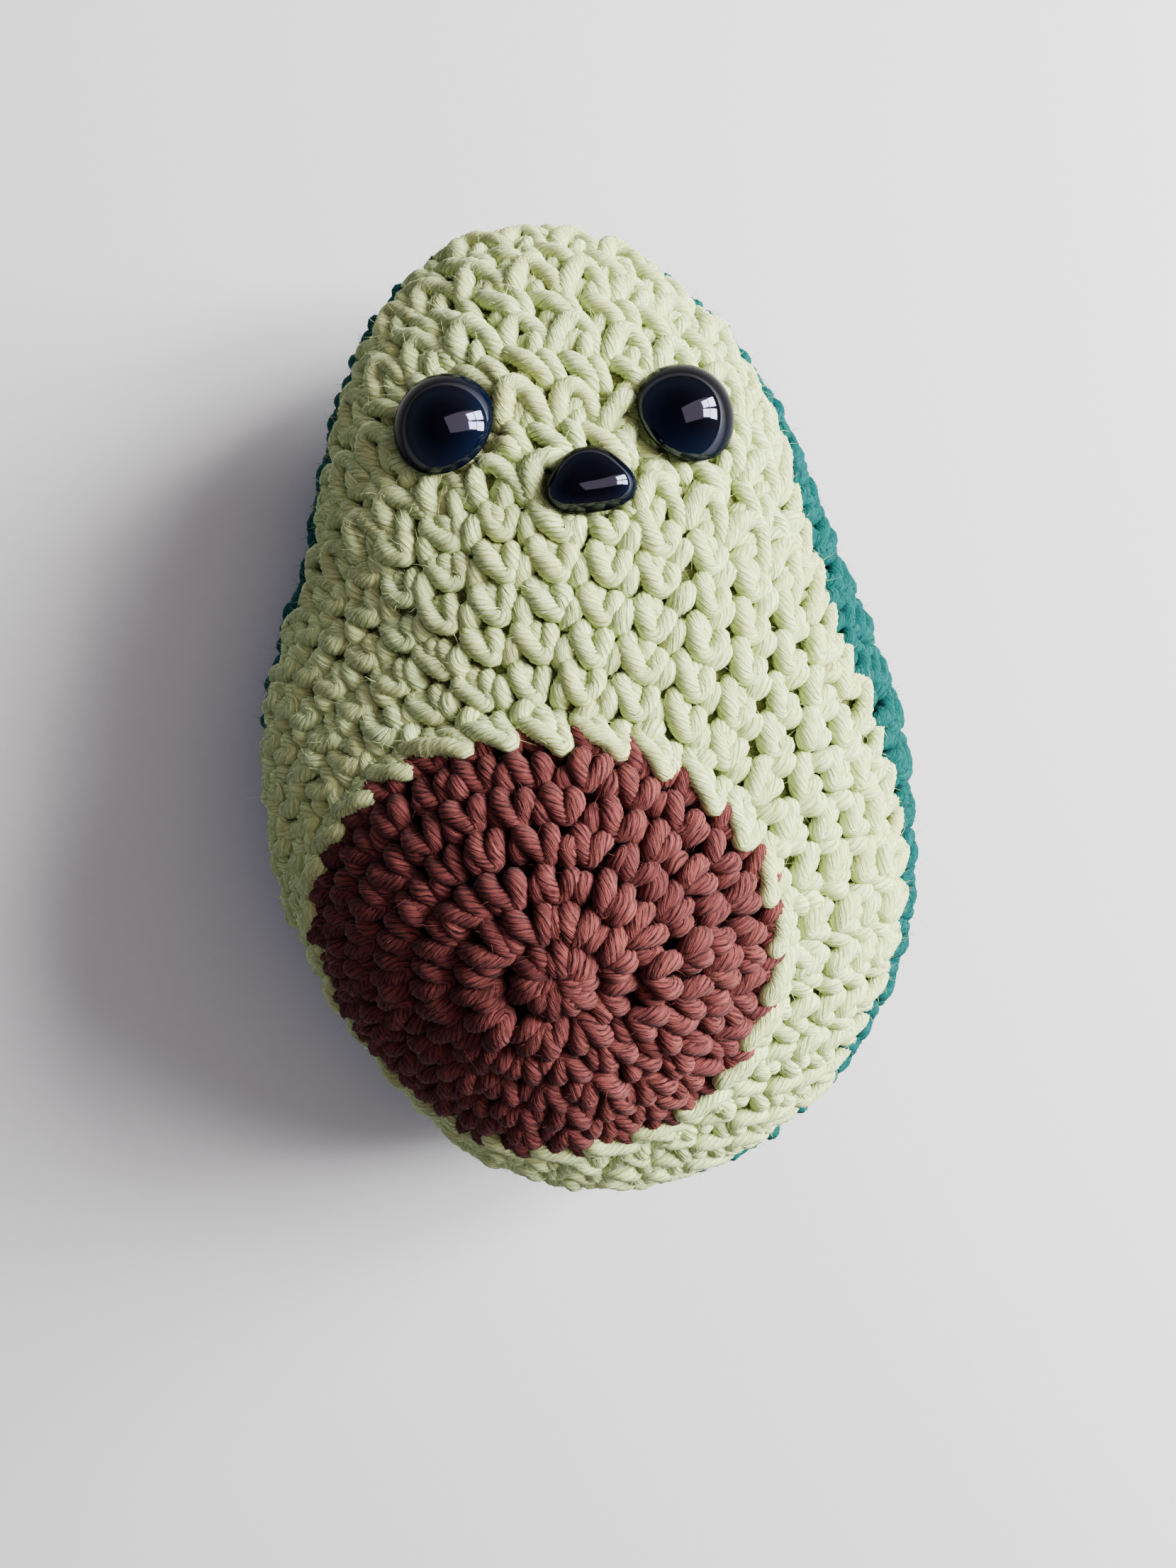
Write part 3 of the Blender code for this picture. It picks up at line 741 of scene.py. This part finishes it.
def gloss_material(name, middle, rim, roughness, shine, reach=1.0):
    """Moulded plastic with faint handling marks. Its colour changes towards the rim, and broad patches
    take on a little of the rim colour, dimmed;
    on the eyes and the nose this rim colour is navy, a painted reflection. Its gloss is held back
    where it is seen edge on."""
    made, tree, shader = new_material(name)
    shader.inputs["Specular Tint"].default_value = (0.62, 0.68, 1.0, 1)
    place = node(tree, "TexCoord").outputs["Object"]
    parts = node(tree, "SeparateXYZ", {0: place})
    x, y = parts.outputs[0], parts.outputs[1]
    square = maths(tree, "MULTIPLY_ADD", x, x, maths(tree, "MULTIPLY", y, y))
    out = maths(tree, "MULTIPLY", square, (1 / (reach * MM)) ** 2)
    # Towards the rim the colour turns to the rim colour: on the eyes and the nose, a painted navy
    # reflection
    edge = node(tree, "Clamp", {0: maths(tree, "MULTIPLY_ADD", out, 2.2, -0.9)}).outputs[0]
    marks = noise(tree, place, 900.0, 3.0, 0.6)
    broad = noise(tree, place, 90.0, 1.0)
    rough = maths(tree, "MULTIPLY_ADD", marks, 0.03, roughness - 0.01)
    tree.links.new(rough, shader.inputs["Roughness"])
    colour = blend(tree, edge, middle, rim)
    # Broad patches take on a little of the dimmed rim colour: a faint painted reflection on the eyes
    # and the nose
    colour = blend(tree, maths(tree, "MULTIPLY", broad, 0.3), colour, tuple(c * 0.7 for c in rim))
    tree.links.new(colour, shader.inputs["Base Color"])
    facing = node(tree, "LayerWeight", {"Blend": 0.5}).outputs["Facing"]
    held = maths(tree, "MULTIPLY_ADD", facing, -4.4, 2.15)
    held = node(tree, "Clamp", {0: held, 1: 0.03}).outputs[0]
    shader.inputs["Specular IOR Level"].default_value = shine
    gloss = maths(tree, "MULTIPLY", held, shine)
    tree.links.new(gloss, shader.inputs["Specular IOR Level"])
    bump = node(tree, "Bump", {"Height": broad, "Strength": 0.05, "Distance": 0.2 * MM})
    tree.links.new(bump.outputs[0], shader.inputs["Normal"])
    return made


# The crochet

def stone(materials):
    mesh = Mesh()
    for k, count in enumerate(STONE_COUNTS):
        part = (k + 0.53) / len(STONE_COUNTS)
        ring = Round(
            FRONT, lambda a, part=part: stone_rim(a) * part, k * 0.37, count=count, restless=1.5
        )
        low = 0.15 if k == len(STONE_COUNTS) - 1 else 0.0
        which = np.arange(count)
        length = stone_rim(ring.angle(which)) / len(STONE_COUNTS) / RIM_ROUNDS
        shapes = (STONE_VEE, 0.94, low), (STONE_LUMP, 0.94, low)
        row_of(mesh, ring, which, shapes, 0.96, length[:, None])
    mesh.sheet(skin(FRONT, lambda a: a * 0, lambda a: stone_rim(a) - 0.5, 90, 16, 0.6))
    return mesh.objects("stone_stitches", materials, "stone_panel")


def flesh(materials):
    belly, head = Mesh(), Mesh()
    longest = front_seam(ANGLES).max()
    for k in range(int(longest / FLESH_ROUND)):
        ring = Round(
            FRONT, lambda a, k=k: stone_rim(a) + FLESH_START + k * FLESH_ROUND, -k * LEAN,
            count=COLOUR_STITCHES if k == 0 else None,
        )
        which = np.arange(ring.count)
        angle = ring.angle(which)
        distance = ring.reach(angle)
        which = which[from_seam(angle, distance, front_seam) > SEAM_CLEARANCE]
        if not len(which):
            continue
        if k == 0:
            shapes = (COLOUR_VEE, 1.0, 0.0), (COLOUR_FILL, 1.0, 0.0), (COLOUR_LUMP, 1.0, 0.0)
            row_of(belly, ring, which, shapes)
        elif k < HEAD_FROM:
            row_of(belly, ring, which, ((VEE, 1.0, 0.0), (BEHIND_VEE, 1.0, 0.0), (LUMP, 1.0, 0.0)))
        elif k % 2 == HEAD_FROM % 2:
            shapes = (ARCH, 1.06, 0.0), (UNDER_ARCH, 0.98, 0.0), (BEHIND_BAR, 1.0, 0.25)
            row_of(head, ring, which, shapes)
        else:
            shapes = (LONG_BAR, 1.02, 0.0), (SHORT_BAR, 0.97, 0.0), (BEHIND_BAR, 1.0, 0.25)
            row_of(head, ring, which, shapes)
    edge = Round(BACK, back_seam, 0.0, SEAM_STITCH)
    which = np.arange(edge.count)
    row_of(head, edge, which, ((PALE_EDGE, 0.95, 0.0), (PALE_EDGE_LUMP, 0.95, 0.0)))
    belly.sheet(
        skin(FRONT, lambda a: stone_rim(a) - 0.4, lambda a: front_seam(a) - 0.3, 180, 26, 0.45)
    )
    made = belly.objects("flesh_stitches", materials, "flesh_panel")
    return made + head.objects("head_stitches", materials, "flesh_panel")


def back(materials):
    middle, sides, rim = Mesh(), Mesh(), Mesh()
    longest = back_seam(ANGLES).max()
    for k in range(int(longest / ROUND)):
        ring = Round(BACK, lambda a, k=k: (k + 0.5) * ROUND + 0 * a, k * LEAN)
        which = np.arange(ring.count)
        angle = ring.angle(which)
        distance = ring.reach(angle)
        which = which[from_seam(angle, distance, back_seam) > SEAM_CLEARANCE]
        if len(which):
            mesh = middle if k < MIDDLE_ROUNDS else sides
            row_of(mesh, ring, which, ((VEE, 1.0, 0.0), (LUMP, 1.0, 0.0)))
    edge = Round(BACK, back_seam, 0.5, SEAM_STITCH)
    which = np.arange(edge.count)
    row_of(rim, edge, which, ((TEAL_EDGE, 0.95, 0.0), (TEAL_EDGE_LUMP, 0.95, 0.0)))
    rim.sheet(skin(BACK, lambda a: a * 0 + 0.01, lambda a: back_seam(a) - 0.2, 180, 40, 0.8))
    made = middle.objects("back_stitches", materials, "back_panel")
    made += sides.objects("side_stitches", materials, "back_panel")
    return made + rim.objects("edge_stitches", materials, "back_panel")


# The face

def seat(spot):
    """Where a feature of the face sits, as in part.py."""
    x, y = spot
    out = Vector(front_normal(x, y))
    up = (Vector((0, 1, 0)) - out * out.y).normalized()
    turn = Matrix((up.cross(out), up, out)).transposed().to_4x4()
    at = Vector((x, y, float(front_height(x, y)))) + out * (RELIEF - PRESSED_IN)
    return Matrix.Translation(at * MM) @ turn


def round_outline(angle):
    return math.cos(angle), math.sin(angle)


def nose_outline(angle):
    reach = 1 + 0.075 * math.cos(3 * (angle - math.pi / 2))
    return 1.03 * reach * math.cos(angle), reach * math.sin(angle)


def shank_profile():
    radius = SHANK_ACROSS / 2
    profile = [(radius * 0.7, -SHANK_LENGTH), (radius, -SHANK_LENGTH + 0.8)]
    for rib in range(3):
        top = -SHANK_LENGTH + 2.6 + rib * 2.0
        profile += [(radius + SHANK_RIB, top), (radius - SHANK_RIB, top + 0.3)]
    return profile + [(radius, -0.02)]


def head_profile(rise, flat, steep, lip=0.7, rings=24):
    """A domed head of unit radius, its lip rounded, from its underside to its top."""
    profile = [(0.91, 0.0), (0.95, 0.04), (0.985, lip * 0.55), (0.998, lip * 0.8)]
    for i in range(rings):
        size = math.cos(math.radians(89) * i / (rings - 1))
        profile.append((size, lip + (rise - lip) * (1 - size**flat) ** steep))
    return profile


def face_piece(name, spot, shape, half_width, half_height, dome, finish, replaced, segments=72):
    mesh = bpy.data.meshes.new(name)
    rings = [(shape_of(round_outline, segments), size, 1, 1, z) for size, z in shank_profile()]
    rings += [
        (shape_of(shape, segments), size, half_width, half_height, z)
        for size, z in head_profile(*dome)
    ]
    points = [
        (x * size * wide * MM, y * size * high * MM, z * MM)
        for plan, size, wide, high, z in rings for x, y in plan
    ]
    faces = [
        (r * segments + i, r * segments + (i + 1) % segments,
         (r + 1) * segments + (i + 1) % segments, (r + 1) * segments + i)
        for r in range(len(rings) - 1) for i in range(segments)
    ]
    top = range((len(rings) - 1) * segments, len(points))
    faces += [tuple(reversed(range(segments))), tuple(top)]
    mesh.from_pydata(points, [], faces)
    mesh.shade_smooth()
    mesh.set_sharp_from_angle(angle=math.radians(50))
    mesh.materials.append(finish)
    obj = bpy.data.objects.new(name, mesh)
    obj.matrix_world = seat(spot)
    bpy.context.scene.collection.objects.link(obj)
    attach(obj, "root")
    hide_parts(replaced)


def shape_of(shape, segments):
    return [shape(TURN * i / segments) for i in range(segments)]


# The stage

def area_light(name, at, towards, size, power, colour):
    data = bpy.data.lights.new(name, "AREA")
    data.shape = "RECTANGLE"
    data.size, data.size_y = size
    data.energy = power
    data.color = colour
    obj = bpy.data.objects.new(name, data)
    obj.location = at
    way = Vector(towards) - Vector(at)
    obj.rotation_euler = way.to_track_quat("-Z", "Y").to_euler()
    bpy.context.scene.collection.objects.link(obj)


def build_stage():
    data = bpy.data.cameras.new("camera")
    data.sensor_fit = "HORIZONTAL"
    data.sensor_width = 36.0
    data.lens = FOCAL_LENGTH / PHOTO_WIDTH * data.sensor_width
    data.clip_start, data.clip_end = 0.01, 10.0
    camera = bpy.data.objects.new("camera", data)
    camera.location = [c * MM for c in CAMERA_AT]
    camera.rotation_euler = Euler([math.radians(a) for a in CAMERA_TURN], "XYZ")
    bpy.context.scene.collection.objects.link(camera)
    bpy.context.scene.camera = camera

    floor_mesh = bpy.data.meshes.new("floor")
    half = 3.0
    floor_mesh.from_pydata(
        [(-half, -half, 0), (half, -half, 0), (half, half, 0), (-half, half, 0)], [], [(0, 1, 2, 3)]
    )
    made, tree, shader = new_material("paper")
    grain = noise(tree, node(tree, "TexCoord").outputs["Object"], 700.0, 3.0)
    tree.links.new(
        blend(tree, grain, (0.72, 0.73, 0.74), (0.76, 0.77, 0.78)), shader.inputs["Base Color"]
    )
    shader.inputs["Roughness"].default_value = 0.9
    floor_mesh.materials.append(made)
    floor = bpy.data.objects.new("floor", floor_mesh)
    bpy.context.scene.collection.objects.link(floor)

    world = bpy.data.worlds.new("studio")
    world.use_nodes = True
    tree = world.node_tree
    background = tree.nodes["Background"]
    upward = node(tree, "SeparateXYZ", {0: node(tree, "TexCoord").outputs["Generated"]}).outputs[2]
    overhead = node(tree, "Clamp", {0: maths(tree, "MULTIPLY_ADD", upward, 1.6, -0.35)}).outputs[0]
    tree.links.new(
        blend(tree, overhead, (0.22, 0.26, 0.33), (0.04, 0.045, 0.07)), background.inputs["Color"]
    )
    background.inputs["Strength"].default_value = 1.0
    bpy.context.scene.world = world

    middle = (0.0, -0.005, 0.03)
    for row in range(2):
        for column in range(2):
            at = (0.62, 0.02 + 0.21 * column, 0.22 + 0.24 * row)
            area_light(f"pane_{row}{column}", at, middle, (0.17, 0.20), 7.4, (1.0, 0.99, 0.97))
    area_light("overhead", (0.42, 0.10, 0.62), middle, (0.45, 0.85), 3.2, (1.0, 0.76, 0.74))


def build():
    # Each yarn's dark colour serves both its darker fibres and the painted shade in its ply grooves
    pale = yarn_material("pale_yarn", (0.72, 0.89, 0.46), (0.26, 0.33, 0.10), (0.52, 0.50, 0.19))
    brown = yarn_material(
        "brown_yarn", (0.23, 0.059, 0.052), (0.005, 0.001, 0.002), (0.045, 0.009, 0.012), 0.03
    )
    teal = yarn_material(
        "teal_yarn", (0.0, 0.10, 0.085), (0.0, 0.02, 0.021), (0.0, 0.055, 0.068), 0.0
    )
    # The fabric behind each yarn is coloured much darker than the yarn: painted shade in the holes
    # between the stitches
    pale_shade_skin = skin_material("pale_yarn_behind_shaded", (0.34, 0.38, 0.13), (0.12, 0.14, 0.04))
    brown_shade_skin = skin_material("brown_yarn_behind_shaded", (0.035, 0.007, 0.008), (0.012, 0.003, 0.004))
    teal_shade_skin = skin_material("teal_yarn_behind_shaded", (0.0, 0.035, 0.032), (0.0, 0.012, 0.011))
    # The navy that the eyes and the nose turn to at the rim, and faintly in patches, is a painted
    # reflection
    black, navy_painted_reflection = (0.0009, 0.0006, 0.0009), (0.0008, 0.0022, 0.0085)
    plastic = gloss_material("black_plastic", black, navy_painted_reflection, 0.04, 0.55, EYE_ACROSS / 2)
    nose_plastic = gloss_material("nose_plastic", black, navy_painted_reflection, 0.05, 0.5, NOSE_HALF_WIDTH)

    for piece in stone((brown, brown_shade_skin)):
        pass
    for piece in flesh((pale, pale_shade_skin)):
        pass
    for piece in back((teal, teal_shade_skin)):
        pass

    half, dome = EYE_ACROSS / 2, (EYE_RISE, 2.0, 0.68)
    face_piece("left_eye_dome", EYE_LEFT, round_outline, half, half, dome, plastic, "eye_left")
    face_piece("right_eye_dome", EYE_RIGHT, round_outline, half, half, dome, plastic, "eye_right")
    face_piece(
        "nose_dome", NOSE_AT, nose_outline, NOSE_HALF_WIDTH, NOSE_HALF_HEIGHT, (NOSE_RISE, 2.8, 0.55),
        nose_plastic, "nose",
    )
    fibre = skin_material("fibre_filling", (0.85, 0.85, 0.82), (0.6, 0.6, 0.58))
    milky = (0.75, 0.75, 0.72)
    washer = gloss_material("washer_plastic", milky, milky, 0.4, 0.4)
    for name, finish in (
        ("stuffing", fibre), ("eye_left_washer", washer), ("eye_right_washer", washer),
        ("nose_washer", washer),
    ):
        frame["nodes"][name].data.materials.clear()
        frame["nodes"][name].data.materials.append(finish)
    build_stage()


build()
